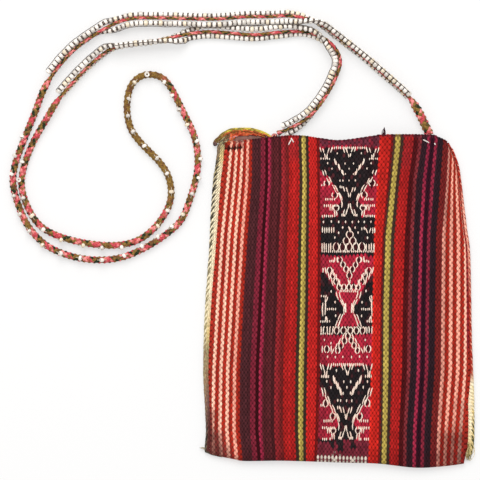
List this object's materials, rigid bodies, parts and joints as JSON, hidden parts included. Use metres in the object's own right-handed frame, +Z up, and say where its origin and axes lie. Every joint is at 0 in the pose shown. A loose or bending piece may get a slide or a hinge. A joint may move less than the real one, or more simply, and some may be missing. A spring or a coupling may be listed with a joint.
{
  "type": "medicine bag",
  "caption": "Flat woven wool pouch with striped faces, overcast side seams and an open mouth, on a long braided strap edged with white glass beads.",
  "frame": {"origin": "under the middle of the bag, on the surface that it lies on", "axes": "+Y from the folded bottom to the mouth, +X to the bag's right as seen from the front, +Z up out of the front"},
  "size_m": [0.3158, 0.3104, 0.0155],
  "materials": {
    "striped_wool_front": "warp-faced wool, striped red, cream, magenta, black and yellow",
    "striped_wool_back": "the same wool cloth, plain stripes",
    "overcast_seam_yarn": "cream and yellow wool yarn in close overcast stitches",
    "maroon_edge_yarn": "dark wool yarn, close stitches",
    "olive_corner_yarn": "olive, yellow and orange wool yarn, twisted",
    "coral_and_olive_braid": "braided wool in coral red and olive",
    "white_glass_bead": "opaque white glass, glossy",
    "grey_loose_yarn": "loose grey wool",
    "olive_loose_yarn": "loose dark olive wool",
    "white_sewing_thread": "white sewing thread"
  },
  "bodies": {
    "bag_back": {"back_panel": "striped_wool_back", "left_side_seam": "overcast_seam_yarn", "right_side_seam": "overcast_seam_yarn", "back_mouth_edge": "maroon_edge_yarn", "left_corner_yarn": "olive_corner_yarn", "strap_braid": "coral_and_olive_braid", "right_run_bead_row_one": "white_glass_bead", "right_run_bead_row_two": "white_glass_bead", "left_run_bead_row_one": "white_glass_bead", "left_run_bead_row_two": "white_glass_bead", "loop_beads": "white_glass_bead", "left_strap_knot": "coral_and_olive_braid", "right_strap_knot": "coral_and_olive_braid", "left_corner_knot": "maroon_edge_yarn", "bottom_left_tail": "grey_loose_yarn", "bottom_right_fray": "olive_loose_yarn"},
    "bag_front": {"front_panel": "striped_wool_front", "front_mouth_edge": "maroon_edge_yarn", "mouth_yarn_tuft": "maroon_edge_yarn", "left_sewing_stitch": "white_sewing_thread", "right_sewing_stitch": "white_sewing_thread"}
  },
  "joints": [
    {"name": "mouth_open", "type": "hinge", "parent": "bag_back", "child": "bag_front", "pos_m": [0, -0.11175, 0.0058], "axis": [1, 0, 0], "range_deg": [0, 8]}
  ]
}
